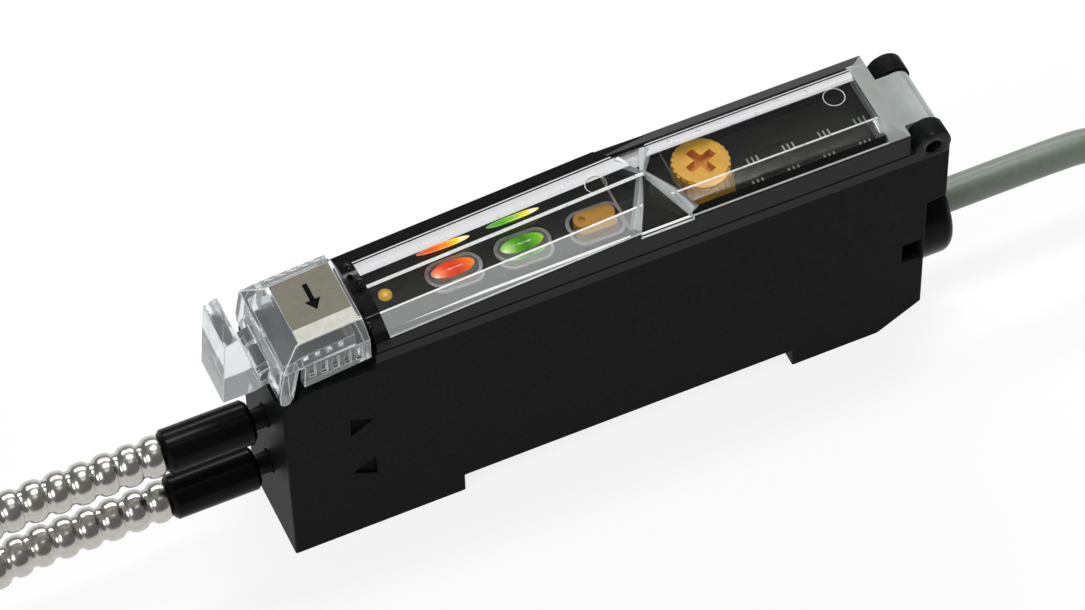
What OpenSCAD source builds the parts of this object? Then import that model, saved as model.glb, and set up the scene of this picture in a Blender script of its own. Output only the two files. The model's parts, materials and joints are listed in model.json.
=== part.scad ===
// Fibre optic sensor amplifier: a slim rail-mounted case with a clear hinged cover over its controls,
// a clear clamp lever for two armoured fibres at the front, and a cable at the back.
// Drawn from its front face: +X runs back to the cable, +Y to the far side, +Z up.

/* [Case] */
// Width of the case, side to side
body_w = 11; // [10:0.1:13]
// Length of the front foot
front_foot_l = 18; // [16:0.1:20]
// Width of the rail slot between the feet
rail_slot_w = 35.4; // [35.2:0.1:35.8]
// Depth of the rail slot
rail_slot_d = 2.45; // [2.2:0.05:3]
// Reach of each rail hook into the slot
rail_hook_l = 0.8; // [0.4:0.1:1.2]
// Height of each rail hook
rail_hook_h = 0.9; // [0.6:0.1:1]
// Width of each rail hook
rail_hook_w = 5; // [3:0.5:7]
// Length of the rear foot
rear_foot_l = 9.45; // [7:0.05:11]
// Run of the slanted tail behind the rear foot
tail_run = 4.7; // [3:0.1:6]
// Rise of the slanted tail
tail_rise = 2.8; // [1:0.1:4]
// Height of the ledge under the hinge block
ledge_z = 18.3; // [16.5:0.1:20]
// Overhang of the hinge block beyond the rear face
ledge_out = 2.1; // [1.5:0.1:3]
// Height of the seam that the cover sits on
seam_z = 27; // [26.4:0.1:28]
// Height of the front wall's top edge
front_top_z = 23.75; // [23.4:0.05:23.9]
// Run of the slope behind the front edge
front_slope_run = 2.7; // [2.2:0.1:3.2]
// Height of the wall beside the clamp lever
shelf_z = 24.95; // [24.6:0.05:25.2]
// Wall of the case
wall = 1.2; // [1:0.1:1.4]
// Depth of the arrow marks on the side
mark_d = 0.25; // [0.1:0.05:0.5]
// Running gap between loose pieces
clear_gap = 0.15; // [0.1:0.01:0.2]
// Clearance of a pin in its hole
pin_gap = 0.05; // [0.02:0.01:0.1]

/* [Cover] */
// Height of the flat roof over the dial
roof_z = 31.4; // [31.2:0.1:33]
// Height of the roof at the front end
roof_front_z = 29.55; // [29.4:0.05:30]
// Where the sloping roof meets the flat one
waist_x = 39.7; // [38.5:0.1:40]
// Half width of the flat roof
roof_half = 3.1; // [2.9:0.1:3.6]
// Drop of the roof's side chamfers
roof_drop = 1.4; // [0.8:0.1:1.6]
// Rise of the lens ridge along the front roof
ridge_rise = 0.35; // [0:0.05:0.6]
// Thickness of the roof
roof_t = 1.25; // [1.1:0.05:1.3]
// Thickness of the cover's side walls
cover_wall = 1; // [0.8:0.1:1.2]
// Distance from the cover's rear face to the hinge
cover_to_hinge = 2.55; // [2.4:0.05:3]
// Length of each finger notch at the waist
notch_l = 6.6; // [5:0.2:7]
// Depth of the finger notches at the side
notch_d = 1.9; // [1:0.1:2]
// Distance of the hinge from the rear of its block
hinge_in = 1.85; // [1.8:0.05:2.2]
// Radius of the hinge ears
ear_r = 1.95; // [1.8:0.05:2.1]
// Width of each hinge ear
ear_w = 2.2; // [1.8:0.1:2.6]
// Radius of the hinge pin
hinge_pin_r = 0.75; // [0.5:0.05:0.9]
// How far the pin's ends lie inside the ears
pin_inset = 0.8; // [0.3:0.1:1.2]

/* [Clamp lever] */
// Height of the lever's pivot
pivot_z = 24.7; // [24.6:0.05:24.9]
// Distance of the pivot behind the front face
pivot_x = 0.45; // [0.3:0.05:0.5]
// Radius of the pivot bar
pivot_r = 0.55; // [0.4:0.05:0.6]
// Length of the lever behind the front face
lever_l = 9.2; // [8.6:0.1:9.2]
// Height of the lever's top at its rear
lever_rear_z = 30.75; // [30.2:0.05:31.2]
// Height of the lever's top at its front edge
lever_front_z = 30.2; // [29.8:0.05:30.5]
// Half width of the lever's flat top
lever_half = 3.7; // [3.2:0.1:4.4]
// Reach of the finger tab in front of the case
tab_reach = 4.8; // [4.2:0.1:5.2]
// Height of the finger tab's tip
tab_z = 32.6; // [31:0.1:33.5]
// Width of the finger tab
tab_w = 5.4; // [4:0.1:6.5]
// Number of grip ribs on each cheek
rib_count = 5; // [3:1:7]

/* [Controls] */
// Length of a lamp window
lamp_l = 5; // [4.6:0.1:5.6]
// Width of a lamp window
lamp_w = 2.3; // [2.2:0.1:2.8]
// Distance of the red lamp behind the front face
red_x = 19.95; // [18:0.05:20.2]
// Distance of the green lamp
green_x = 27.05; // [26.9:0.05:27.4]
// Distance of the set button
button_x = 34.45; // [34.3:0.05:34.8]
// Travel of the set button
button_travel = 0.35; // [0.2:0.05:0.4]
// Distance of the adjusting screw
dial_x = 45.7; // [45.6:0.1:48]
// Diameter of the adjusting screw's head
dial_d = 5.7; // [5:0.1:5.9]
// Height of the screw head above the panel
dial_h = 2.2; // [1.6:0.1:2.3]
// Distance of the small front lamp from the panel's front end
dot_in = 1.4; // [1.2:0.05:2]
// Diameter of the small front lamp
dot_d = 1.4; // [1:0.1:1.6]

/* [Fibres and cable] */
// Height of the upper fibre
fibre_top_z = 16.1; // [15:0.1:17]
// Spacing of the two fibres
fibre_pitch = 7.4; // [6.5:0.1:8]
// Diameter of a fibre sleeve
sleeve_d = 4.5; // [4.2:0.1:5]
// Length of a fibre sleeve
sleeve_l = 9; // [8:0.1:10]
// Gap between a sleeve and the front face
neck_l = 1.5; // [0.5:0.1:2.5]
// Diameter of the fibre's inner jacket
jacket_d = 2.2; // [1.8:0.1:2.4]
// Diameter of the armoured fibre
armour_d = 4.1; // [3.8:0.1:4.2]
// Diameter of the cable
cable_d = 3.5; // [3:0.1:3.8]
// Diameter of the cable gland
gland_d = 10; // [8:0.1:10.4]
// Length of the gland behind the case
gland_l = 3.9; // [3:0.1:5]
// Height of the gland
gland_z = 10.5; // [9:0.1:11]

/* [Hidden] */
$fn = 48;
eps = 0.01;

// Case outline
half_w = body_w / 2;
step_gap = 0.35;
step_x = lever_l + step_gap;
slot_x0 = front_foot_l;
slot_x1 = slot_x0 + rail_slot_w;
foot_x1 = slot_x1 + rear_foot_l;
rear_x = foot_x1 + tail_run;
block_x = rear_x + ledge_out;
ledge_rise = 0.4;
hinge_x = block_x - hinge_in;
hinge_z = seam_z;
cover_rear_x = hinge_x - cover_to_hinge;
ear_in = half_w - ear_w;
inner_half = half_w - wall;
floor_z = rail_slot_d + wall;
hook_lead = 0.3;
x_mid = (rear_x + gland_l - tab_reach) / 2;

// Lid on the far side
lid_ledge = 0.6;

// Arrow marks and snap window in the near side
mark_l = 2.3;
mark_h = 2.6;
mark_x = 7.75;
mark_up = 1;
snap_l = 2.1;
snap_h = 2.3;
snap_in = 0.3;

// Panel and the deck under the seam
deck_t = 1.8;
deck_z = seam_z - deck_t;
panel_in = 0.5;
panel_half = inner_half - panel_in;
flange = 0.3;
panel_lip = 0.4;
end_wall = 1.5;
end_gap = 0.3;
cover_in = 0.2;
cover_x0 = step_x + cover_in;
panel_x0 = cover_x0 + end_wall + end_gap;
panel_x1 = cover_rear_x - end_wall - end_gap;
dot_x = panel_x0 + dot_in;
panel_t = 0.4;
panel_z = seam_z + panel_t;
panel_body_h = 1.4;
slit_l = 3.4;
slit_w = 0.3;
board_t = 0.8;
board_drop = 2.6;
board_in = 1;
board_z = seam_z - panel_body_h - board_drop;

// Pocket under the lever
pocket_d = 1.1;
pocket_z = front_top_z - pocket_d;
pocket_lip = 0.6;

// Cover
cover_z0 = seam_z + clear_gap;
cover_slope = atan((roof_z - roof_front_z) / (waist_x - cover_x0));
drop_change = 0.4;
front_drop = roof_drop - drop_change;
knuckle_drop = 0.25;
knuckle_r = ear_r - knuckle_drop;
knuckle_half = ear_in - clear_gap;
knuckle_room = 0.6;
knuckle_flat = 0.1;
cover_lap = 0.2;
lens_wall_more = 0.1;
lens_wall = cover_wall + lens_wall_more;
web_t = 0.9;
waist_t = 0.3;
notch_tip = 0.25;

// Lever
lug_half = 1.2;
lug_r = 1.1;
lug_gap = 0.25;
lever_wall = 1.1;
lever_drop = 1.2;
bevel_x = 2.5;
bevel_drop = 1.3;
bevel_z = lever_front_z - bevel_drop;
cheek_x = 2.3;
cheek_front_gap = 0.95;
cheek_rear_gap = 1.8;
cheek_front_z = shelf_z + cheek_front_gap;
cheek_rear_z = shelf_z + cheek_rear_gap;
lever_slope = atan((lever_rear_z - lever_front_z) / (lever_l - bevel_x));
tab_low = 0.5;
tab_root = 1.9;
tab_lean = 0.7;
tab_neck = 1.6;
tab_back = 2;
tab_low_z = pivot_z - tab_low;
tab_root_z = pivot_z + tab_root;
tab_tip_x = tab_lean - tab_reach;
root_fillet = 0.6;
tip_back_up = 0.3;
tip_front_down = 0.2;
nose_h = 1.1;
inside_in = 0.2;
tab_t = 1.5;
rib_in = 0.7;
rib_end = 0.3;
rib_x0 = cheek_x + rib_in;
rib_pitch = (lever_l - rib_x0 - rib_end) / rib_count;
rib_d = 0.35;
rib_up = 0.5;
rib_down = 0.1;
rib_z0 = cheek_rear_z + rib_up;
rib_z1 = lever_front_z - lever_drop - rib_down;
foil_in = 0.35;
foil_t = 0.15;

// Controls
collar_w = 0.35;
collar_h = 0.12;
screw_gap = 0.3;
button_end = 0.4;
button_side = 0.3;
button_up = 0.55;
button_l = lamp_l - 2 * button_end;
button_w = lamp_w - 2 * button_side;
button_top = panel_z + button_up;
dimple_r = 0.35;
dimple_d = 0.25;
stem_r = 0.6;
switch_h = 1.6;
switch_l = 3.4;
switch_w = 3;
switch_gap = 0.1;
switch_top_z = board_z + switch_h + button_travel;
shaft_r = 1;
shaft_in = 1;
pot_w = 5.6;
pot_top_z = seam_z - panel_body_h - screw_gap;
knurl_n = 24;
knurl_w = 0.4;
knurl_d = 0.15;
cross_l = 3.2;
cross_w = 0.9;
cross_d = 0.9;
cross_turn = 20;
led_top_z = seam_z - panel_body_h - screw_gap;
led_size = [2, 1.25];
dot_led_size = [1, 0.8];
main_in = 2;
main_back = 3;

// Fibres, their sleeves and optics
fibre_zs = [fibre_top_z, fibre_top_z - fibre_pitch];
sleeve_x0 = -neck_l - sleeve_l;
sleeve_round = 0.4;
block_l = 2.4;
optic_l = 3;
block_back_x = step_x + block_l;
jacket_end_x = block_back_x - optic_l;
optic_r = 1.5;
optic_gap = 0.5;
diode_rim = 0.5;
diode_rim_t = 0.8;
tip_r = 1.5;
tip_l = 8.5;
tip_step = 0.5;
tip_nose = 1.5;

// Cable gland
gland_neck_r = 3;
gland_in = 4;
gland_round = 1.2;
gland_grip = 0.8;
core_gap = 1;

// Routes of the free cords, and their hanks: X of the two bends, Y of the middle, radii and heights
tie_t = 0.4;
tie_w = 4;
tie_slack = 0.3;
cord_sides = 8;
cable_route = [[71.45, 0, 10.5], [75, 0, 10.5], [80, 0, 10.5], [85, 0, 10.45], [88, 0, 10.2],
    [91, -0.2, 9.5], [94, -0.5, 8.35], [97, -0.9, 6.9], [100, -1.4, 5.4], [103, -1.9, 4], [106, -2.3, 2.95],
    [109, -2.55, 2.3], [112, -2.6, 2.15], [118, -2.6, 2.15]];
cable_hank_x = [118, 163];
cable_hank_y = 11.4;
cable_hank_r = [8.75, 15.75];
cable_hank_z = [0.4, 24.9];
upper_route = [[-10.5, 0, 16.1], [-15, 0, 16.1], [-20, 0, 16.1], [-24, 0, 16.1], [-28, -0.25, 16],
    [-32, -0.75, 15.8], [-36, -1.45, 15.5], [-40, -2.2, 15.15], [-44, -2.9, 14.9], [-48, -3.3, 14.75],
    [-56, -3.4, 14.75]];
lower_route = [[-10.5, 0, 8.7], [-15, 0, 8.7], [-20, 0, 8.7], [-24, 0, 8.7], [-28, -0.25, 8.3],
    [-32, -0.75, 7.15], [-35, -1.25, 5.6], [-38, -1.8, 4], [-42, -2.6, 2.85], [-46, -3.15, 2.45],
    [-50, -3.4, 2.45], [-56, -3.4, 2.45]];
fibre_hank_x = [-100.4, -56];
fibre_hank_y = 10.6;
fibre_hank_r = [11.95, 16.05];
lower_hank_z = [0.4, 12.6];
upper_hank_z = [12.7, 27.05];
tip_y = 20.3;
lower_tip_z = 12.7;
upper_tip_z = 25;

// Helpers
module place() { translate([-x_mid, 0, 0]) children(); }

module slab(x, y, z) {
    translate([x[0], y[0], z[0]]) cube([x[1] - x[0], y[1] - y[0], z[1] - z[0]]);
}

// A side outline, given as X and Z, run across from y[0] to y[1]
module side_run(points, y) {
    translate([0, y[1], 0]) rotate([90, 0, 0]) linear_extrude(y[1] - y[0]) polygon(points);
}

// A cross section, given as Y and Z, run back from x[0] to x[1]
module cross_run(points, x) {
    translate([x[0], 0, 0]) rotate([90, 0, 90]) linear_extrude(x[1] - x[0]) polygon(points);
}

// A cross section run back along a line that climbs from a point
module climbing_run(points, x, z, climb, run) {
    translate([x, 0, z]) rotate([0, -climb, 0]) cross_run(points, [-run[0], run[1]]);
}

module y_rod(x, z, r, y) {
    translate([x, y[1], z]) rotate([90, 0, 0]) cylinder(r = r, h = y[1] - y[0]);
}

module x_rod(x, y, z, r) {
    translate([x[0], y, z]) rotate([0, 90, 0]) cylinder(r = r, h = x[1] - x[0]);
}

// A round-ended slot shape standing on the panel
module stadium(length, width, height) {
    reach = (length - width) / 2;
    translate([-reach, -width / 2, 0]) cube([2 * reach, width, height]);
    for (side = [-1, 1]) translate([side * reach, 0, 0]) cylinder(d = width, h = height);
}

function mirrored(points) =
    concat(points, [for (i = [len(points) - 1 : -1 : 0]) [-points[i][0], points[i][1]]]);

// Case
function case_outline() = [
    [0, 0], [slot_x0, 0], [slot_x0, rail_slot_d], [slot_x1, rail_slot_d], [slot_x1, 0],
    [foot_x1, 0], [rear_x, tail_rise], [rear_x, ledge_z], [block_x, ledge_z + ledge_rise],
    [block_x, hinge_z], [step_x, seam_z], [step_x, shelf_z], [front_slope_run, shelf_z], [0, front_top_z]];

function cavity_outline(inset) = [[wall + inset, floor_z + inset], [rear_x - wall - inset, floor_z + inset],
    [rear_x - wall - inset, deck_z - inset], [step_x + wall + inset, deck_z - inset],
    [step_x + wall + inset, pocket_z - wall - inset], [wall + inset, pocket_z - wall - inset]];

module arrow_mark(x, z, direction) {
    back = x - direction * mark_l / 2;
    tip = x + direction * mark_l / 2;
    side_run([[back, z + mark_h / 2], [tip, z], [back, z - mark_h / 2]], [-half_w - 1, -half_w + mark_d]);
}

module rail_hook(x, direction) {
    tip = x + direction * rail_hook_l;
    side_run([[x, 0], [tip - direction * hook_lead, 0], [tip, hook_lead], [tip, rail_hook_h],
        [x, rail_hook_h]], [-rail_hook_w / 2, rail_hook_w / 2]);
}

// The lug that carries the lever's pivot bar
module pivot_lug() {
    y_rod(pivot_x, pivot_z, lug_r, [-lug_half, lug_half]);
    slab([lug_gap, pivot_x + lug_r], [-lug_half, lug_half], [pocket_z - eps, pivot_z]);
}

module hinge_ears() {
    for (side = [-1, 1]) {
        outer = side * half_w;
        inner = side * (half_w - ear_w);
        y_rod(hinge_x, hinge_z, ear_r, [min(outer, inner), max(outer, inner)]);
    }
}

module housing() {
    color([0.09, 0.09, 0.09]) place() difference() {
        union() {
            side_run(case_outline(), [-half_w, half_w]);
            hinge_ears();
            rail_hook(slot_x0, 1);
            rail_hook(slot_x1, -1);
            pivot_lug();
        }
        // Inside, open to the far side for the lid
        side_run(cavity_outline(lid_ledge), [-inner_half, half_w + 1]);
        side_run(cavity_outline(0), [inner_half, half_w + 1]);
        // Top opening for the panel
        slab([panel_x0 + panel_lip, panel_x1 - panel_lip], [-panel_half, panel_half],
            [deck_z - 1, seam_z + 1]);
        // Pocket under the lever
        difference() {
            slab([-1, step_x - pocket_lip], [-inner_half, inner_half], [pocket_z, seam_z + 1]);
            pivot_lug();
        }
        y_rod(pivot_x, pivot_z, pivot_r + pin_gap, [-half_w - 1, half_w + 1]);
        // Room between the ears for the cover's knuckle
        slab([cover_rear_x - knuckle_room, block_x + 1], [-ear_in, ear_in],
            [hinge_z - web_t, hinge_z + ear_r + 1]);
        y_rod(hinge_x, hinge_z, ear_r + clear_gap, [-ear_in, ear_in]);
        y_rod(hinge_x, hinge_z, hinge_pin_r + pin_gap, [-half_w - 1, half_w + 1]);
        // Fibre ports and the cable's hole
        for (z = fibre_zs) x_rod([-1, wall + lid_ledge + 1], 0, z, jacket_d / 2 + clear_gap);
        x_rod([rear_x - wall - lid_ledge - 1, rear_x + 1], 0, gland_z, gland_neck_r + pin_gap);
        // Snap window near the cable, and the arrow marks
        slab([rear_x - snap_l - snap_in, rear_x - snap_in], [-half_w - 1, -inner_half + 1],
            [gland_z - snap_in, gland_z + snap_h]);
        arrow_mark(mark_x, fibre_top_z + mark_up, 1);
        arrow_mark(mark_x, fibre_top_z - fibre_pitch + mark_up, -1);
    }
}

module side_lid() {
    color([0.1, 0.1, 0.1]) place() side_run(cavity_outline(pin_gap), [inner_half, half_w]);
}

// Cuts a shape, drawn at a place along the panel, right through it
module panel_hole(x) {
    translate([x, 0, seam_z - panel_body_h - 1]) children();
}

module control_panel() {
    through = panel_body_h + panel_t + 2;
    slit_x = dial_x + dial_d;
    color([0.16, 0.16, 0.15]) place() difference() {
        union() {
            slab([panel_x0, panel_x1], [-panel_half - flange, panel_half + flange], [seam_z, panel_z]);
            slab([panel_x0 + panel_lip + clear_gap, panel_x1 - panel_lip - clear_gap],
                [-panel_half + clear_gap, panel_half - clear_gap], [seam_z - panel_body_h, seam_z + eps]);
        }
        for (x = [red_x, green_x]) panel_hole(x) stadium(lamp_l, lamp_w, through);
        panel_hole(button_x) stadium(button_l + 2 * screw_gap, button_w + 2 * screw_gap, through);
        panel_hole(dial_x) cylinder(r = shaft_r + pin_gap, h = through);
        panel_hole(dot_x) cylinder(d = dot_d, h = through);
        // Slit behind the screw
        slab([slit_x, slit_x + slit_l], [slit_w, 2 * slit_w], [panel_z - slit_w, panel_z + 1]);
    }
}

module lamp_collars() {
    color([0.72, 0.72, 0.7]) place() for (x = [red_x, green_x, button_x]) translate([x, 0, panel_z])
        difference() {
        stadium(lamp_l + 2 * collar_w, lamp_w + 2 * collar_w, collar_h);
        translate([0, 0, -1]) stadium(lamp_l, lamp_w, collar_h + 2);
    }
}

module lamp_window(x) {
    translate([x, 0, seam_z - panel_body_h])
        stadium(lamp_l - 2 * pin_gap, lamp_w - 2 * pin_gap, panel_body_h + panel_t + collar_h);
}

module red_window() { color([0.9, 0.2, 0.1, 0.8]) place() lamp_window(red_x); }

module green_window() { color([0.25, 0.75, 0.1, 0.8]) place() lamp_window(green_x); }

module dot_window() {
    color([0.85, 0.6, 0.1]) place() translate([dot_x, 0, seam_z - panel_body_h])
        cylinder(d = dot_d - 2 * pin_gap, h = panel_t + panel_body_h + collar_h);
}

module adjust_screw() {
    head_z = panel_z + screw_gap;
    core_r = dial_d / 2 - knurl_d;
    color([0.95, 0.62, 0.1]) place() translate([dial_x, 0, 0]) difference() {
        union() {
            translate([0, 0, head_z]) cylinder(r = core_r, h = dial_h);
            for (i = [0 : knurl_n - 1]) rotate([0, 0, i * 360 / knurl_n])
                translate([core_r - knurl_w, -knurl_w / 2, head_z + knurl_d])
                cube([knurl_d + knurl_w, knurl_w, dial_h - 2 * knurl_d]);
            translate([0, 0, pot_top_z - shaft_in])
                cylinder(r = shaft_r, h = head_z - pot_top_z + shaft_in + eps);
        }
        for (turn = [0, 90]) rotate([0, 0, turn + cross_turn])
            translate([-cross_l / 2, -cross_w / 2, head_z + dial_h - cross_d])
            cube([cross_l, cross_w, cross_d + 1]);
    }
}

module set_button() {
    color([0.78, 0.5, 0.15]) place() translate([button_x, 0, 0]) difference() {
        union() {
            translate([0, 0, seam_z - panel_body_h])
                stadium(button_l, button_w, button_top - seam_z + panel_body_h);
            translate([0, 0, switch_top_z])
                cylinder(r = stem_r, h = seam_z - panel_body_h - switch_top_z + eps);
        }
        translate([-button_l / 2 + button_w / 2, 0, button_top - dimple_d]) cylinder(r = dimple_r, h = 1);
    }
}

// Cover
function roof_section() =
    mirrored([[-half_w, cover_z0], [-half_w, roof_z - roof_drop], [-roof_half, roof_z]]);

function lens_section() =
    mirrored([[-half_w, -roof_front_z], [-half_w, -front_drop], [-roof_half, 0], [0, ridge_rise]]);

function lens_hollow() = mirrored([[lens_wall - half_w, -roof_front_z], [lens_wall - half_w, -roof_t]]);

function roof_hollow(height) = mirrored([[cover_wall - half_w, seam_z - 1], [cover_wall - half_w, height]]);

module cover_outer() {
    intersection() {
        climbing_run(lens_section(), cover_x0, roof_front_z, cover_slope, [2, waist_x - cover_x0 + 2]);
        slab([cover_x0, waist_x], [-half_w, half_w], [cover_z0, roof_z + 2]);
    }
    intersection() {
        cross_run(roof_section(), [waist_x - cover_lap, cover_rear_x]);
        side_run([[waist_x - 1, cover_z0], [cover_rear_x, cover_z0], [cover_rear_x, roof_z - roof_drop],
            [cover_rear_x - half_w + roof_half, roof_z], [waist_x - 1, roof_z]], [-half_w, half_w]);
    }
}

module cover_hollow() {
    intersection() {
        climbing_run(lens_hollow(), cover_x0, roof_front_z, cover_slope, [0, waist_x - cover_x0]);
        slab([cover_x0 + end_wall, waist_x - notch_l / 2], [-half_w, half_w], [seam_z - 1, roof_z]);
    }
    cross_run(roof_hollow(roof_z - notch_d - waist_t),
        [waist_x - notch_l / 2 - cover_lap, dial_x - dial_d / 2 - screw_gap + cover_lap]);
    cross_run(roof_hollow(roof_z - roof_t), [dial_x - dial_d / 2 - screw_gap, cover_rear_x - end_wall]);
}

// One of the two finger notches that pinch the roof to an X
module finger_notch() {
    fall = atan(notch_d / half_w);
    intersection() {
        translate([0, 0, cover_z0]) linear_extrude(roof_z)
            polygon([[waist_x, -notch_tip], [waist_x - notch_l / 2, -half_w - 1],
                [waist_x + notch_l / 2, -half_w - 1]]);
        translate([waist_x, 0, roof_z]) rotate([fall, 0, 0]) translate([-notch_l, -2 * half_w, 0])
            cube([2 * notch_l, 2 * half_w, 5]);
    }
}

module cover() {
    color([0.9, 0.93, 0.93, 0.35]) place() difference() {
        union() {
            difference() {
                cover_outer();
                cover_hollow();
            }
            y_rod(hinge_x, hinge_z, knuckle_r, [-knuckle_half, knuckle_half]);
            slab([cover_rear_x - end_wall / 2, hinge_x], [-knuckle_half, knuckle_half],
                [cover_z0, hinge_z + knuckle_r - knuckle_flat]);
        }
        finger_notch();
        mirror([0, 1, 0]) finger_notch();
        y_rod(hinge_x, hinge_z, hinge_pin_r + pin_gap, [-half_w, half_w]);
    }
}

module hinge_pin() {
    color([0.7, 0.7, 0.72]) place()
        y_rod(hinge_x, hinge_z, hinge_pin_r, [pin_inset - half_w, half_w - pin_inset]);
}

// Lever
function lever_block() = [
    [pivot_x - pivot_r, pivot_z], [pivot_x + pivot_r, pivot_z], [cheek_x, cheek_front_z],
    [lever_l, cheek_rear_z], [lever_l, lever_rear_z], [bevel_x, lever_front_z], [pivot_x, bevel_z],
    [pivot_x - pivot_r, pivot_z + nose_h]];

function lever_inside() = [
    [pivot_x + pivot_r, pocket_z], [pivot_x + pivot_r, bevel_z - root_fillet],
    [bevel_x + inside_in, lever_front_z - lever_wall], [lever_l - lever_wall, lever_rear_z - lever_wall],
    [lever_l - lever_wall, pocket_z]];

function finger_tab() = [
    [-tab_reach, tab_low_z], [pivot_x - tab_back, tab_low_z], [pivot_x - pivot_r, pivot_z],
    [pivot_x, pivot_z], [pivot_x, tab_root_z + root_fillet], [pivot_x - tab_neck, tab_root_z],
    [tab_tip_x + tab_t, tab_z + tip_back_up], [tab_tip_x, tab_z - tip_front_down]];

function lever_section() = mirrored([[-half_w, -lever_front_z], [-half_w, -lever_drop], [-lever_half, 0]]);

module lever_cheek_cuts() {
    for (side = [0, 1]) mirror([0, side, 0]) {
        side_run([[pivot_x + pivot_r, pivot_z - 1], [cheek_x, cheek_front_z - 1],
            [cheek_x + slit_w, bevel_z], [cheek_x - slit_w, bevel_z]], [-half_w - 1, lever_wall - half_w]);
        for (i = [0 : rib_count - 1])
            slab([rib_x0 + i * rib_pitch, rib_x0 + i * rib_pitch + rib_pitch / 2],
                [-half_w - 1, rib_d - half_w], [rib_z0, rib_z1]);
    }
}

module clamp_lever() {
    color([0.9, 0.93, 0.93, 0.35]) place() {
        difference() {
            union() {
                intersection() {
                    side_run(lever_block(), [-half_w, half_w]);
                    climbing_run(lever_section(), bevel_x, lever_front_z, lever_slope,
                        [bevel_x + 2, lever_l + 2]);
                }
                side_run(finger_tab(), [-tab_w / 2, tab_w / 2]);
                y_rod(pivot_x, pivot_z, pivot_r, [-half_w, half_w]);
            }
            side_run(lever_inside(), [lever_wall - half_w, half_w - lever_wall]);
            y_rod(pivot_x, pivot_z, lug_r + lug_gap, [-lug_half - lug_gap, lug_half + lug_gap]);
            lever_cheek_cuts();
            foil_shape(foil_t);
        }
        y_rod(pivot_x, pivot_z, pivot_r, [-half_w + lever_wall, half_w - lever_wall]);
    }
}

// The foil lies in a shallow seat on the lever's top
module foil_shape(t) {
    translate([bevel_x, 0, lever_front_z]) rotate([0, -lever_slope, 0])
        translate([foil_in, -lever_half, -t]) cube([lever_l - bevel_x - 2 * foil_in, 2 * lever_half, 1]);
}

module lever_foil() {
    color([0.62, 0.6, 0.57]) place() translate([bevel_x, 0, lever_front_z]) rotate([0, -lever_slope, 0])
        translate([foil_in, -lever_half, -foil_t])
        cube([lever_l - bevel_x - 2 * foil_in, 2 * lever_half, foil_t]);
}

// Electronics
module display_board() {
    color([0.1, 0.3, 0.15]) place() slab([panel_x0 + 2 * panel_lip, panel_x1 - 2 * wall],
        [-panel_half + board_in, panel_half - board_in], [board_z - board_t, board_z]);
}

module main_board() {
    color([0.1, 0.32, 0.16]) place() slab([block_back_x + main_in, rear_x - gland_in - main_back],
        [-board_t / 2, board_t / 2], [floor_z + lid_ledge, board_z - board_t]);
}

module led(x, size) {
    color([0.9, 0.85, 0.8]) place() translate([x, 0, 0])
        slab([-size[0] / 2, size[0] / 2], [-size[1] / 2, size[1] / 2], [board_z, led_top_z]);
}

module red_led() { led(red_x, led_size); }

module green_led() { led(green_x, led_size); }

module dot_led() { led(dot_x, dot_led_size); }

module push_switch() {
    color([0.2, 0.2, 0.2]) place() translate([button_x, 0, 0]) slab([-switch_l / 2, switch_l / 2],
        [-switch_w / 2, switch_w / 2], [board_z, switch_top_z - button_travel - switch_gap]);
}

module potentiometer() {
    color([0.1, 0.2, 0.5]) place() difference() {
        translate([dial_x, 0, 0])
            slab([-pot_w / 2, pot_w / 2], [-pot_w / 2, pot_w / 2], [board_z, pot_top_z]);
        translate([dial_x, 0, pot_top_z - shaft_in - screw_gap])
            cylinder(r = shaft_r + pin_gap, h = pot_top_z);
    }
}

module optics_block() {
    color([0.13, 0.13, 0.13]) place() difference() {
        slab([wall + lid_ledge, block_back_x], [-inner_half, inner_half - clear_gap],
            [floor_z + lid_ledge, pocket_z - wall - lid_ledge]);
        for (z = fibre_zs) {
            x_rod([0, jacket_end_x], 0, z, jacket_d / 2 + pin_gap);
            x_rod([jacket_end_x - eps, block_back_x + 1], 0, z, optic_r);
        }
    }
}

// A small domed diode in the back of an optics bore
module diode(z) {
    length = block_back_x - jacket_end_x - optic_gap;
    translate([jacket_end_x + optic_gap, 0, z]) rotate([0, 90, 0]) {
        cylinder(r = optic_r - pin_gap, h = length);
        translate([0, 0, length]) cylinder(r = optic_r + diode_rim, h = diode_rim_t);
    }
}

module emitter() { color([0.85, 0.3, 0.3]) place() diode(fibre_zs[0]); }

module receiver() { color([0.25, 0.25, 0.3]) place() diode(fibre_zs[1]); }

// Cable
module cable_gland() {
    r = gland_d / 2;
    neck = gland_neck_r;
    color([0.07, 0.07, 0.07]) place() translate([rear_x, 0, gland_z]) rotate([0, 90, 0]) difference() {
        union() {
            cylinder(r = r, h = gland_l - gland_round);
            translate([0, 0, gland_l - gland_round - eps])
                cylinder(r = r - gland_round, h = gland_round + eps);
            translate([0, 0, gland_l - gland_round]) rotate_extrude() translate([r - gland_round, 0])
                intersection() {
                circle(r = gland_round);
                square(gland_round);
            }
            translate([0, 0, -gland_in]) cylinder(r = neck, h = gland_in + eps);
            translate([0, 0, -gland_in])
                cylinder(r = neck + gland_grip, h = gland_in - wall - lid_ledge - clear_gap);
        }
        translate([0, 0, -gland_in - 1]) cylinder(d = cable_d - core_gap, h = gland_in + 1);
    }
}

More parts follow.
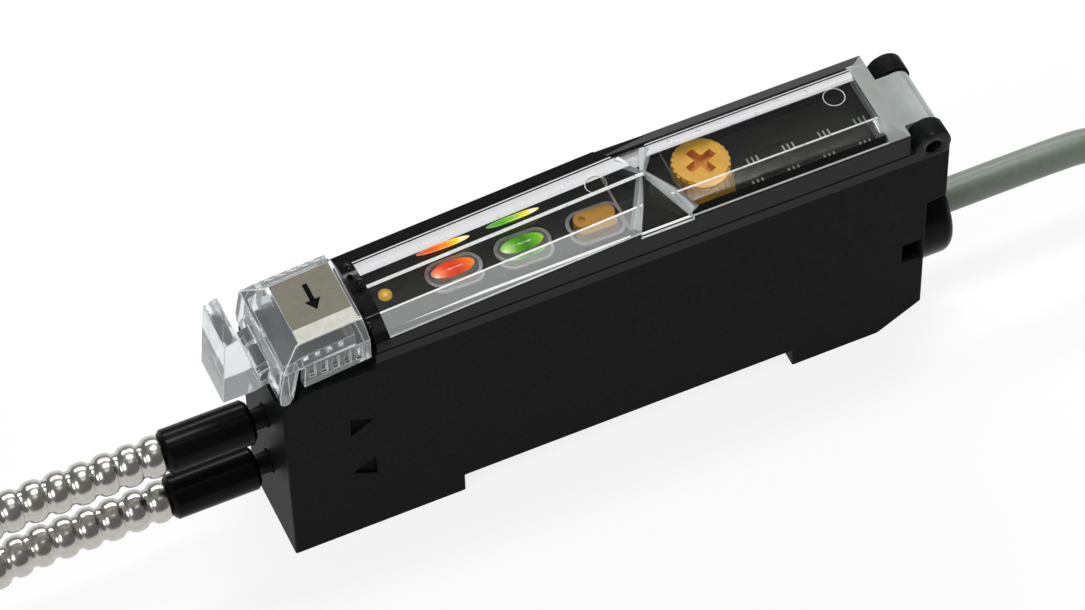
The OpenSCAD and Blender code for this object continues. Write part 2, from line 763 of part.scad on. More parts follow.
// A tube swept along points
module swept_tube(points, d) {
    last = len(points) - 1;
    rings = [for (i = [0 : last]) let (
        step = points[min(i + 1, last)] - points[max(i - 1, 0)],
        ahead = step / norm(step),
        across = cross([0, 0, 1], ahead) / norm(cross([0, 0, 1], ahead)),
        up = cross(ahead, across))
        for (k = [0 : cord_sides - 1]) let (turn = 360 * k / cord_sides)
        points[i] + (across * cos(turn) + up * sin(turn)) * d / 2];
    walls = [for (i = [0 : last - 1]) for (k = [0 : cord_sides - 1]) let (
        n = (k + 1) % cord_sides,
        here = i * cord_sides,
        next = here + cord_sides)
        each [[here + k, next + k, next + n], [here + k, next + n, here + n]]];
    caps = [[for (k = [0 : cord_sides - 1]) k], [for (k = [cord_sides - 1 : -1 : 0]) last * cord_sides + k]];
    polyhedron(rings, concat(walls, caps), convexity = 4);
}

// A flat shape with round ends, about two points on a line along X
module oval(x, y, r) {
    translate([x[0], y - r]) square([x[1] - x[0], 2 * r]);
    for (end = x) translate([end, y]) circle(r = r);
}

// The outer form of a hank of cord
module hank(x, y, r, z) {
    translate([0, 0, z[0]]) linear_extrude(z[1] - z[0]) difference() {
        oval(x, y, r[1]);
        oval(x, y, r[0]);
    }
}

// A flat strap round the runs on one side of a hank
module hank_tie(x, y, z) {
    mid = (x[0] + x[1]) / 2;
    difference() {
        slab([mid - tie_w / 2, mid + tie_w / 2], [y[0] - tie_slack - tie_t, y[1] + tie_slack + tie_t],
            [z[0] - tie_t, z[1] + tie_t]);
        slab([mid - tie_w, mid + tie_w], [y[0] - tie_slack, y[1] + tie_slack], z);
    }
}

module cable_tube() { color([0.55, 0.57, 0.56]) place() swept_tube(cable_route, cable_d); }

module cable_coil() {
    color([0.55, 0.57, 0.56]) place() hank(cable_hank_x, cable_hank_y, cable_hank_r, cable_hank_z);
}

module cable_tie() {
    runs = [cable_hank_y - cable_hank_r[1], cable_hank_y - cable_hank_r[0]];
    color([0.1, 0.1, 0.1]) place() hank_tie(cable_hank_x, runs, cable_hank_z);
}

// Fibres
module fibre_sleeve(z) {
    color([0.06, 0.06, 0.06]) place() translate([sleeve_x0, 0, z]) rotate([0, 90, 0]) difference() {
        rotate_extrude() polygon([
            [0, 0], [sleeve_d / 2 - sleeve_round, 0], [sleeve_d / 2, sleeve_round],
            [sleeve_d / 2, sleeve_l - sleeve_round], [sleeve_d / 2 - sleeve_round, sleeve_l], [0, sleeve_l]]);
        translate([0, 0, sleeve_l / 2]) cylinder(r = jacket_d / 2 + pin_gap, h = sleeve_l);
    }
}

module fibre_jacket(z) {
    color([0.5, 0.5, 0.48]) place() x_rod([sleeve_x0 + sleeve_l / 2, jacket_end_x], 0, z, jacket_d / 2);
}

module fibre_sleeve_upper() { fibre_sleeve(fibre_zs[0]); }

module fibre_sleeve_lower() { fibre_sleeve(fibre_zs[1]); }

module fibre_jacket_upper() { fibre_jacket(fibre_zs[0]); }

module fibre_jacket_lower() { fibre_jacket(fibre_zs[1]); }

module fibre_tube_upper() { color([0.75, 0.74, 0.7]) place() swept_tube(upper_route, armour_d); }

module fibre_tube_lower() { color([0.75, 0.74, 0.7]) place() swept_tube(lower_route, armour_d); }

module fibre_coil(z) { color([0.75, 0.74, 0.7]) place() hank(fibre_hank_x, fibre_hank_y, fibre_hank_r, z); }

module fibre_coil_upper() { fibre_coil(upper_hank_z); }

module fibre_coil_lower() { fibre_coil(lower_hank_z); }

module fibre_tie() {
    runs = [fibre_hank_y + fibre_hank_r[0], fibre_hank_y + fibre_hank_r[1]];
    color([0.1, 0.1, 0.1]) place() hank_tie(fibre_hank_x, runs, [lower_hank_z[0], upper_hank_z[1]]);
}

// Threaded steel tip at the end of a fibre, inside the hank
module fibre_tip(z) {
    color([0.72, 0.72, 0.72]) place() {
        x_rod([fibre_hank_x[0], fibre_hank_x[0] + tip_l], tip_y, z, tip_r);
        x_rod([fibre_hank_x[0], fibre_hank_x[0] + tip_l + tip_nose], tip_y, z, tip_r - tip_step);
    }
}

module fibre_tip_upper() { fibre_tip(upper_tip_z); }

module fibre_tip_lower() { fibre_tip(lower_tip_z); }

housing();
side_lid();
control_panel();
lamp_collars();
red_window();
green_window();
dot_window();
adjust_screw();
set_button();
cover();
hinge_pin();
clamp_lever();
lever_foil();
display_board();
main_board();
red_led();
green_led();
dot_led();
push_switch();
potentiometer();
optics_block();
emitter();
receiver();
cable_gland();
cable_tube();
cable_coil();
cable_tie();
fibre_sleeve_upper();
fibre_sleeve_lower();
fibre_jacket_upper();
fibre_jacket_lower();
fibre_tube_upper();
fibre_tube_lower();
fibre_coil_upper();
fibre_coil_lower();
fibre_tie();
fibre_tip_upper();
fibre_tip_lower();
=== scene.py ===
"""Looks of the fibre optic sensor amplifier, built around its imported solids."""
import json
import math

import bmesh
import bpy
from mathutils import Matrix, Vector


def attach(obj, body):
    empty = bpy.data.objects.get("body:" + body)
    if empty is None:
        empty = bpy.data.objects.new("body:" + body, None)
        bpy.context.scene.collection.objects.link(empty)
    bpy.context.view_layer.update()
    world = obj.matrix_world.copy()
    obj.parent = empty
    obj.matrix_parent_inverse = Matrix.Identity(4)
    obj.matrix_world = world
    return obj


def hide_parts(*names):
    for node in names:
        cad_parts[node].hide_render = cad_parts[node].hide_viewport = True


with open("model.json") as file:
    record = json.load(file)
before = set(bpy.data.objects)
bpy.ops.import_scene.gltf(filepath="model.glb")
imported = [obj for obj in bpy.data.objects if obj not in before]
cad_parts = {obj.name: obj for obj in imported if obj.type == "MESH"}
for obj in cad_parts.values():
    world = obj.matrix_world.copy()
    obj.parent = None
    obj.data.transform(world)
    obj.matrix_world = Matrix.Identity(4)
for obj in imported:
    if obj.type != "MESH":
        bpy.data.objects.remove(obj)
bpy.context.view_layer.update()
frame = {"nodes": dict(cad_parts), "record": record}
NODES = frame["nodes"]
BODY_OF = {n: body for body, ns in frame["record"]["behaviour"]["bodies"].items() for n in ns}

# The part is drawn in millimetres from its front face, and the row frame has its middle at X_MID
X_MID = 33.325
MM = 0.001


def at(x, y, z):
    """A point given in millimetres from the front face, in the row frame."""
    return Vector(((x - X_MID) * MM, y * MM, z * MM))


# Camera at the photograph's viewing angle
IMAGE_W = 1085
FOCAL_PX = 5190
SENSOR_W = 36
CAMERA_AT = at(-89.529, -276.222, 414.887)
CAMERA_RIGHT = Vector((0.91009, -0.41408, -0.01639))
CAMERA_DOWN = Vector((-0.33944, -0.72219, -0.60268))
CAMERA_AHEAD = Vector((0.23772, 0.55406, -0.79782))


def add_camera():
    data = bpy.data.cameras.new("camera")
    data.sensor_width = SENSOR_W
    data.lens = FOCAL_PX / IMAGE_W * SENSOR_W
    data.clip_start = 0.01
    data.clip_end = 20
    camera = bpy.data.objects.new("camera", data)
    bpy.context.scene.collection.objects.link(camera)
    turn = Matrix((CAMERA_RIGHT, -CAMERA_DOWN, -CAMERA_AHEAD)).transposed()
    camera.matrix_world = Matrix.Translation(CAMERA_AT) @ turn.to_4x4()
    bpy.context.scene.camera = camera


# Mesh helpers
def link(obj):
    bpy.context.scene.collection.objects.link(obj)
    return obj


# Faces larger than this are flat ones, in square millimetres
FLAT_AREA = 4


def shade(mesh, sharp_angle=35):
    """Smooth shading of small faces, with creases at the edges sharper than the angle, in degrees."""
    bm = bmesh.new()
    bm.from_mesh(mesh)
    for face in bm.faces:
        face.smooth = face.calc_area() < FLAT_AREA * MM * MM
    for edge in bm.edges:
        edge.smooth = len(edge.link_faces) == 2 and edge.calc_face_angle(0) < math.radians(sharp_angle)
    bm.to_mesh(mesh)
    bm.free()


def triangles(node):
    """The triangles of a solid, joined at their corners."""
    bm = bmesh.new()
    bm.from_mesh(NODES[node].data)
    bmesh.ops.remove_doubles(bm, verts=bm.verts, dist=1e-6)
    for face in bm.faces:
        face.material_index = 0
    return bm


def split(bm, place, normal):
    """Cuts the faces in two along a plane."""
    everything = bm.verts[:] + bm.edges[:] + bm.faces[:]
    bmesh.ops.bisect_plane(bm, geom=everything, plane_co=place, plane_no=normal)


def merged(node):
    """The faces of a solid, with its triangles joined into flat faces."""
    bm = triangles(node)
    bmesh.ops.dissolve_limit(bm, angle_limit=math.radians(0.5), verts=bm.verts, edges=bm.edges)
    return bm


def soften(bm, edges, width, segments, slot=0):
    """Rounds some edges, and gives the new faces a material slot. The width is in millimetres."""
    if edges:
        made = bmesh.ops.bevel(bm, geom=edges, offset=width * MM, offset_type="OFFSET", segments=segments,
                               profile=0.5, affect="EDGES", clamp_overlap=False)
        for face in made["faces"]:
            face.material_index = slot


def sharp_edges(bm, sharp_angle=30):
    limit = math.radians(sharp_angle)
    return [e for e in bm.edges if len(e.link_faces) == 2 and e.calc_face_angle(0) > limit]


def stand_in(node, bm, mats):
    """Makes a reworked copy stand for its solid."""
    mesh = bpy.data.meshes.new(node + "_look")
    bm.to_mesh(mesh)
    bm.free()
    shade(mesh)
    for mat in mats:
        mesh.materials.append(mat)
    obj = link(bpy.data.objects.new(node + "_look", mesh))
    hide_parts(node)
    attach(obj, BODY_OF[node])


def rounded(node, width, mat):
    """A copy of a solid with rounded edges, which stands for it."""
    bm = merged(node)
    soften(bm, sharp_edges(bm), width, 2)
    stand_in(node, bm, [mat])


def smooth(node, mat):
    """A smoothly shaded copy of a round solid, which stands for it."""
    stand_in(node, triangles(node), [mat])


# What counts as a long ridge: its least bend in degrees, and its stray and least length in millimetres
RIDGE_ANGLE = 8
RIDGE_STRAY = 0.05
RIDGE_SHORTEST = 2


def long_edges(bm, y, z_from, x_from=0, x_to=70):
    """Edges that run along the part at a given Y, above a height."""
    found = []
    for edge in sharp_edges(bm, RIDGE_ANGLE):
        ends = [v.co / MM for v in edge.verts]
        level = all(abs(e.y - y) < RIDGE_STRAY and e.z > z_from for e in ends)
        within = all(x_from < e.x + X_MID < x_to for e in ends)
        if level and within and abs(ends[0].x - ends[1].x) > RIDGE_SHORTEST:
            found.append(edge)
    return found


def mesh_piece(name, verts, faces, body, sharp_angle=35):
    mesh = bpy.data.meshes.new(name)
    mesh.from_pydata([tuple(v) for v in verts], [], faces)
    mesh.validate()
    shade(mesh, sharp_angle)
    obj = link(bpy.data.objects.new(name, mesh))
    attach(obj, body)
    return obj


def line_length(points):
    return sum((b - a).length for a, b in zip(points, points[1:]))


def smooth_line(points, steps):
    """A smooth curve through given points, with some steps between each two."""
    line = []
    for i in range(len(points) - 1):
        before = points[max(i - 1, 0)]
        a, b = points[i], points[i + 1]
        after = points[min(i + 2, len(points) - 1)]
        for k in range(steps):
            t = k / steps
            line.append(0.5 * (2 * a + (b - before) * t + (2 * before - 5 * a + 4 * b - after) * t * t
                               + (3 * a - before - 3 * b + after) * t ** 3))
    return line + [points[-1].copy()]


def cut_to(points, length):
    """The first part of a line, with exactly the wanted length."""
    done = [points[0]]
    left = length
    for a, b in zip(points, points[1:]):
        step = (b - a).length
        if step >= left:
            return done + [a + (b - a) * (left / step)]
        done.append(b)
        left -= step
    return done


def even_line(points, spacing):
    """The same line with its points a set distance apart."""
    count = max(2, round(line_length(points) / spacing))
    step = line_length(points) / count
    out = [points[0].copy()]
    walked = 0.0
    for a, b in zip(points, points[1:]):
        span = (b - a).length
        while len(out) < count and walked + span >= len(out) * step - 1e-12:
            out.append(a + (b - a) * ((len(out) * step - walked) / span))
        walked += span
    return out + [points[-1].copy()]


TUBE_CREASE = 60


def swept(name, line, radius_at, sides, body):
    """A closed tube along a line.
    radius_at gives its radius from the distance walked and the turn round it."""
    verts, faces = [], []
    walked = 0.0
    side = Vector((0, 1, 0))
    for i, p in enumerate(line):
        ahead = (line[min(i + 1, len(line) - 1)] - line[max(i - 1, 0)]).normalized()
        side = (side - ahead * side.dot(ahead)).normalized()
        up = ahead.cross(side)
        if i:
            walked += (p - line[i - 1]).length
        for k in range(sides):
            turn = 2 * math.pi * k / sides
            verts.append(p + (side * math.cos(turn) + up * math.sin(turn)) * radius_at(walked, turn))
    for i in range(len(line) - 1):
        for k in range(sides):
            n = (k + 1) % sides
            faces.append((i * sides + k, i * sides + n, (i + 1) * sides + n, (i + 1) * sides + k))
    faces.append(tuple(reversed(range(sides))))
    faces.append(tuple((len(line) - 1) * sides + k for k in range(sides)))
    return mesh_piece(name, verts, faces, body, TUBE_CREASE)


# Cords: the routes of the solids, in millimetres, and the hanks that the spare length is wound in
CABLE_D = 3.5
CABLE_LENGTH = 2.0
CABLE_SIDES = 16
CABLE_ROUTE = [(71.45, 0, 10.5), (75, 0, 10.5), (80, 0, 10.5), (85, 0, 10.45), (88, 0, 10.2),
               (91, -0.2, 9.5), (94, -0.5, 8.35), (97, -0.9, 6.9), (100, -1.4, 5.4), (103, -1.9, 4),
               (106, -2.3, 2.95), (109, -2.55, 2.3), (112, -2.6, 2.15), (118, -2.6, 2.15)]
CABLE_BENDS_X = (118, 163)
CABLE_HANK_Y = 11.4
CABLE_OUTER_R = 14.0
CABLE_OUTER_TURNS = 6
# Bare wires at the cable's end, in millimetres
WIRE_LENGTH = 22
WIRE_R = 0.55
WIRE_AWAY = (0.9, 0.75)
WIRE_STEP = 1.5
WIRE_SIDES = 10
# Armour: depth and pitch of its beads in millimetres, and the shares of the pitch for a bead and its slant
ARMOUR_D = 4.1
ARMOUR_DIP = 0.42
ARMOUR_PITCH = 2.4
ARMOUR_BEAD = 0.78
ARMOUR_SLANT = 0.06
STEPS_PER_BEAD = 14
ARMOUR_SIDES = 20
FIBRE_ROUTES = {
    "upper": [(-10.5, 0, 16.1), (-15, 0, 16.1), (-20, 0, 16.1), (-24, 0, 16.1), (-28, -0.25, 16),
              (-32, -0.75, 15.8), (-36, -1.45, 15.5), (-40, -2.2, 15.15), (-44, -2.9, 14.9),
              (-48, -3.3, 14.75), (-56, -3.4, 14.75)],
    "lower": [(-10.5, 0, 8.7), (-15, 0, 8.7), (-20, 0, 8.7), (-24, 0, 8.7), (-28, -0.25, 8.3),
              (-32, -0.75, 7.15), (-35, -1.25, 5.6), (-38, -1.8, 4), (-42, -2.6, 2.85),
              (-46, -3.15, 2.45), (-50, -3.4, 2.45), (-56, -3.4, 2.45)],
}
FIBRE_BENDS_X = (-56, -100.4)
FIBRE_HANK_Y = 10.6
FIBRE_R = 14.0
FIBRE_TURNS = 2
FIBRE_TIP_Y = 20.3
BEND_STEPS = 16
RUN_STEPS = 4
ROUTE_STEPS = 4


def straight(x_from, x_to, y):
    """Points of a straight run along X, without its start."""
    return [(x_from + (x_to - x_from) * k / RUN_STEPS, y) for k in range(1, RUN_STEPS + 1)]


def half_turn(x, y_from, y_to, way):
    """Points of a round bend from one side of a hank to the other.
    It bulges along X in the way's direction."""
    middle = (y_from + y_to) / 2
    r = (y_to - y_from) / 2
    turns = [math.pi * k / BEND_STEPS for k in range(1, BEND_STEPS + 1)]
    return [(x + way * abs(r) * math.sin(t), middle - r * math.cos(t)) for t in turns]


def one_turn(bends, near, far, next_near):
    """Flat points of one turn from the near side at the first bend, ending on the next turn's near side."""
    first, second = bends
    way = 1 if second > first else -1
    out = straight(first, second, near) + half_turn(second, near, far, way)
    return out + straight(second, first, far) + half_turn(first, far, next_near, -way)


def climb(flat, start, z_from, z_to):
    """Stands flat points on a slope that rises evenly along them."""
    spans = [math.dist(a, b) for a, b in zip([start] + flat, flat)]
    total = sum(spans)
    walked, out = 0.0, []
    for (x, y), span in zip(flat, spans):
        walked += span
        out.append(at(x, y, z_from + (z_to - z_from) * walked / total))
    return out


def cable_line():
    """The lead-in, the outer turns of the hank from the floor up, and the inner turns from its top down."""
    line = smooth_line([at(*p) for p in CABLE_ROUTE], ROUTE_STEPS)
    outer = (CABLE_HANK_Y - CABLE_OUTER_R, CABLE_HANK_Y + CABLE_OUTER_R)
    inner = (outer[0] + CABLE_D, outer[1] - CABLE_D)
    z = CABLE_ROUTE[-1][2]
    for turn in range(CABLE_OUTER_TURNS):
        last = turn == CABLE_OUTER_TURNS - 1
        flat = one_turn(CABLE_BENDS_X, *outer, inner[0] if last else outer[0])
        line += climb(flat, (CABLE_BENDS_X[0], outer[0]), z, z + CABLE_D)
        z += CABLE_D
    for turn in range(CABLE_OUTER_TURNS):
        flat = one_turn(CABLE_BENDS_X, *inner, inner[0])
        line += climb(flat, (CABLE_BENDS_X[0], inner[0]), z, z - CABLE_D)
        z -= CABLE_D
    return line


def fibre_line(route):
    """The lead-in and the climbing turns of the hank, up to the tip inside it."""
    line = smooth_line([at(*p) for p in route], ROUTE_STEPS)
    near, far = FIBRE_HANK_Y - FIBRE_R, FIBRE_HANK_Y + FIBRE_R
    first, second = FIBRE_BENDS_X
    z = route[-1][2]
    for turn in range(FIBRE_TURNS):
        line += climb(one_turn(FIBRE_BENDS_X, near, far, near), (first, near), z, z + ARMOUR_D)
        z += ARMOUR_D
    last = straight(first, second, near) + half_turn(second, near, FIBRE_TIP_Y, -1)
    return line + climb(last, (first, near), z, z + ARMOUR_D / 2)


def armour_radius(walked, turn):
    """Round beads with a narrow waist between each two."""
    along = (walked / (ARMOUR_PITCH * MM) + ARMOUR_SLANT * math.cos(turn)) % 1
    from_crest = min(abs(2 * along / ARMOUR_BEAD - 1), 1)
    return (ARMOUR_D / 2 - ARMOUR_DIP * (1 - math.sqrt(1 - from_crest ** 2))) * MM


def add_fibre(which, mat):
    points = fibre_line(FIBRE_ROUTES[which])
    line = even_line(points, ARMOUR_PITCH * MM / STEPS_PER_BEAD)
    hose = swept("armour_" + which, line, armour_radius, ARMOUR_SIDES, "case")
    hose.data.materials.append(mat)
    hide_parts("fibre_tube_" + which, "fibre_coil_" + which)


def add_cable(mat, wire_mats):
    whole = cable_line()
    points = cut_to(whole, CABLE_LENGTH)
    sheath = swept("cable_sheath", points, lambda walked, turn: CABLE_D / 2 * MM, CABLE_SIDES, "case")
    sheath.data.materials.append(mat)
    # Bare ends of the wires go on along the turn
    rest = cut_to([points[-1]] + whole[len(points):], WIRE_LENGTH * MM)
    for i, wire_mat in enumerate(wire_mats):
        angle = 2 * math.pi * i / len(wire_mats)
        away = Vector((WIRE_AWAY[0] * math.cos(angle), 0, WIRE_AWAY[1] * math.sin(angle))) * MM
        strand = [p + away for p in even_line(rest, WIRE_STEP * MM)]
        wire = swept("cable_wire_" + str(i + 1), strand, lambda walked, turn: WIRE_R * MM, WIRE_SIDES, "case")
        wire.data.materials.append(wire_mat)
    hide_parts("cable_tube", "cable_coil")


# Materials
def paint(name, colour, rough, metal=0.0, grain=0.0, grain_size=900, speckle=0.08, rough_change=0.08,
          **sockets):
    """A shaded surface whose colour and roughness vary a little and whose grain is raised.
    grain is the height of the grain in millimetres, and grain_size how many grains fit in a metre."""
    mat = bpy.data.materials.new(name)
    mat.use_nodes = True
    nodes, links = mat.node_tree.nodes, mat.node_tree.links
    bsdf = nodes["Principled BSDF"]
    bsdf.inputs["Metallic"].default_value = metal
    for socket, value in sockets.items():
        bsdf.inputs[socket.replace("_", " ")].default_value = value
    place = nodes.new("ShaderNodeTexCoord")
    noise = nodes.new("ShaderNodeTexNoise")
    noise.inputs["Scale"].default_value = grain_size
    noise.inputs["Detail"].default_value = 3
    links.new(place.outputs["Object"], noise.inputs["Vector"])
    ramp = nodes.new("ShaderNodeValToRGB")
    ramp.color_ramp.elements[0].position = 0.3
    ramp.color_ramp.elements[1].position = 0.7
    ramp.color_ramp.elements[0].color = [c * (1 - speckle) for c in colour] + [1]
    ramp.color_ramp.elements[1].color = [min(c * (1 + speckle), 1) for c in colour] + [1]
    links.new(noise.outputs["Fac"], ramp.inputs["Fac"])
    links.new(ramp.outputs["Color"], bsdf.inputs["Base Color"])
    spread = nodes.new("ShaderNodeMapRange")
    spread.inputs["To Min"].default_value = max(rough - rough_change, 0.02)
    spread.inputs["To Max"].default_value = rough + rough_change
    links.new(noise.outputs["Fac"], spread.inputs["Value"])
    links.new(spread.outputs["Result"], bsdf.inputs["Roughness"])
    if grain:
        bump = nodes.new("ShaderNodeBump")
        bump.inputs["Strength"].default_value = 1
        bump.inputs["Distance"].default_value = grain * MM
        links.new(noise.outputs["Fac"], bump.inputs["Height"])
        links.new(bump.outputs["Normal"], bsdf.inputs["Normal"])
    return mat


# How dark an unlit lens is beside its glow, and how its colours crowd round the hot spot
LENS_DARK = 0.15
GLOW_CROWD = 1.5


def lit_lens(name, colours, hot_at, reach):
    """A lens lit from below: its colours follow one another away from the hot spot."""
    mat = paint(name, [c * LENS_DARK for c in colours[-2]], 0.12, speckle=0.05, Specular_IOR_Level=0.2)
    nodes, links = mat.node_tree.nodes, mat.node_tree.links
    bsdf = nodes["Principled BSDF"]
    place = nodes.new("ShaderNodeTexCoord")
    away = nodes.new("ShaderNodeVectorMath")
    away.operation = "DISTANCE"
    away.inputs[1].default_value = hot_at
    links.new(place.outputs["Object"], away.inputs[0])
    ramp = nodes.new("ShaderNodeValToRGB")
    stops = ramp.color_ramp.elements
    while len(stops) < len(colours):
        stops.new(0.5)
    for i, colour in enumerate(colours):
        stops[i].position = (i / (len(colours) - 1)) ** GLOW_CROWD
        stops[i].color = (*colour, 1)
    scale = nodes.new("ShaderNodeMapRange")
    scale.inputs["From Max"].default_value = reach * MM
    links.new(away.outputs["Value"], scale.inputs["Value"])
    links.new(scale.outputs["Result"], ramp.inputs["Fac"])
    links.new(ramp.outputs["Color"], bsdf.inputs["Emission Color"])
    bsdf.inputs["Emission Strength"].default_value = 1
    return mat


FOIL_STRETCH = (1, 40, 40)


def brushed(name, colour, rough):
    """Foil with fine lines along X."""
    mat = paint(name, colour, rough, metal=1.0, grain=0.004, grain_size=400, speckle=0.12)
    nodes, links = mat.node_tree.nodes, mat.node_tree.links
    noise = next(n for n in nodes if n.type == "TEX_NOISE")
    place = next(n for n in nodes if n.type == "TEX_COORD")
    lines = nodes.new("ShaderNodeMapping")
    lines.inputs["Scale"].default_value = FOIL_STRETCH
    links.new(place.outputs["Object"], lines.inputs["Vector"])
    links.new(lines.outputs["Vector"], noise.inputs["Vector"])
    return mat


def dress(node, mat):
    """Gives a carried-over solid its material."""
    data = NODES[node].data
    data.materials.clear()
    data.materials.append(mat)


add_camera()
ARMOUR = paint("armour_steel", (0.52, 0.5, 0.46), 0.24, metal=1.0, grain=0.003, grain_size=1500)
CABLE = paint("cable_sheath", (0.165, 0.2, 0.16), 0.42, grain=0.006, grain_size=1600)
WIRES = [paint("wire_brown", (0.2, 0.08, 0.03), 0.35), paint("wire_blue", (0.05, 0.12, 0.4), 0.35),
         paint("wire_black", (0.02, 0.02, 0.02), 0.35)]
for which in FIBRE_ROUTES:
    add_fibre(which, ARMOUR)
add_cable(CABLE, WIRES)

# Case, with a smooth glossy band along its top edge, darker there as painted shade under the cover, and marks
# let into its near side, darker inside as painted shade
SHADE_BAND_Z = 25.6
SHADE_BAND_FROM_Y = 5.3
MARK_X = 7.75
MARK_HALF = 1.5
MARK_Y = (-5.45, -5.2)
CASE_EDGE = 0.16
LID_EDGE = 0.12
BLACK = paint("black_case", (0.008, 0.0092, 0.0082), 0.42, grain=0.012, grain_size=2600, speckle=0.25,
              Specular_IOR_Level=0.022)
# Dull black for print, and inside the case's recessed marks, where its darkness is painted shade
PRINT_AND_SHADE_BLACK = paint("black_print_and_recess_shade", (0.002, 0.002, 0.002), 0.6, grain=0.01, grain_size=2600,
             Specular_IOR_Level=0.03)
# Glossy black for black parts; on the case's top band and the cover's near wall its darkness is painted
# shade, and on the far ridge a painted dark reflection
GLOSS_AND_SHADE = paint("black_gloss_and_painted_shade", (0.004, 0.004, 0.004), 0.12, grain=0.002, grain_size=600,
              Specular_IOR_Level=0.12)


def add_housing():
    looks = [BLACK, GLOSS_AND_SHADE, PRINT_AND_SHADE_BLACK]
    bm = merged("housing")
    soften(bm, sharp_edges(bm), CASE_EDGE, 2)
    split(bm, at(0, 0, SHADE_BAND_Z), (0, 0, 1))
    for face in bm.faces:
        middle = face.calc_center_median() / MM
        # The top band is glossy, and its darker colour is painted shade of the rim under the cover
        if middle.z > SHADE_BAND_Z and abs(middle.y) > SHADE_BAND_FROM_Y:
            face.material_index = looks.index(GLOSS_AND_SHADE)
        # Inside the recessed marks a darker dull black: painted shade
        elif abs(middle.x + X_MID - MARK_X) < MARK_HALF and MARK_Y[0] < middle.y < MARK_Y[1]:
            face.material_index = looks.index(PRINT_AND_SHADE_BLACK)
    stand_in("housing", bm, looks)


add_housing()
rounded("side_lid", LID_EDGE, BLACK)

# Clear pieces, with white painted highlights on their edges where the moulding catches the light
CLEAR = paint("clear_plastic", (0.985, 0.995, 0.99), 0.02, grain=0.0015, grain_size=140, speckle=0.01,
              rough_change=0.01, Transmission_Weight=1.0, IOR=1.49)
# Whitish and partly opaque: painted highlight on edges, the notches' walls and the ejector rings
EDGE_HIGHLIGHT = paint("painted_edge_highlight", (0.84, 0.86, 0.84), 0.3, grain=0.004, grain_size=1500,
              Transmission_Weight=0.35, IOR=1.49)
MILKY = paint("milky_clear", (0.86, 0.9, 0.91), 0.08, grain=0.006, grain_size=300, speckle=0.02,
              rough_change=0.04, Transmission_Weight=0.9, IOR=1.45)
# Pale and partly opaque: painted reflection of the lights on the far ridge, the far inner wall and the far
# notch's floor
REFLECTION_PALE = paint("painted_reflection_band", (0.6, 0.6, 0.61), 0.3, speckle=0.03, Transmission_Weight=0.25, IOR=1.45)
HAZY = paint("hazy_clear", (0.62, 0.66, 0.64), 0.12, grain=0.01, grain_size=500, speckle=0.05,
             Transmission_Weight=0.5, IOR=1.45)
# Clear with a faint white veil: painted pale reflection on the near slope in front of the waist
CLEAR_SHEEN = paint("clear_painted_sheen", (0.9, 0.92, 0.92), 0.04, speckle=0.02, rough_change=0.01,
              Transmission_Weight=0.8, IOR=1.49)
COVER_LOOKS = [CLEAR, EDGE_HIGHLIGHT, GLOSS_AND_SHADE, HAZY, REFLECTION_PALE, CLEAR_SHEEN]
# Where the cover's parts lie along it
END_BLOCK_X = 11.2
WAIST_X = 39.7
REAR_BLOCK_X = 63
KNUCKLE_X = 65.4
# How far the notches at the waist reach along it: their floor, what keeps clear of them, and their walls
NOTCH_FLOOR = 2.5
NOTCH_CLEAR = 3.4
NOTCH_WALL = 3.6
NOTCH_Z = 29
# Where the far notch's floor starts across the cover, and where the notches' walls end
NOTCH_FLOOR_Y = 1.5
NOTCH_WALL_Y = 5.4
# Ridges of the roof, and how widely each is rounded
ROOF_Z = 28
FACET_Y = 3.1
SIDE_Y = 5.5
RIDGE_EDGE = 0.2
FAR_FACET_EDGE = 1.15
FAR_FACET_STEPS = 12
NEAR_FACET_EDGE = 0.09
# Walls and slopes: the far wall, the near wall and the near slope
FAR_BLACK_Y = 4.05
FAR_INSIDE_Y = 3.5
NEAR_WALL_Y = -5.3
NEAR_SLOPE_Y = -3.2
# The pale band of painted reflection along the far ridge, and the thin pale line beside it
REFLECTION_Y = (1.55, 3.25)
REFLECTION_LINE_Y = (3.45, 3.65)
RING_R = (1.05, 0.05)
RING_PLACES = [(35.2, 0.95, 31.33), (60.2, 0.9, 31.37)]


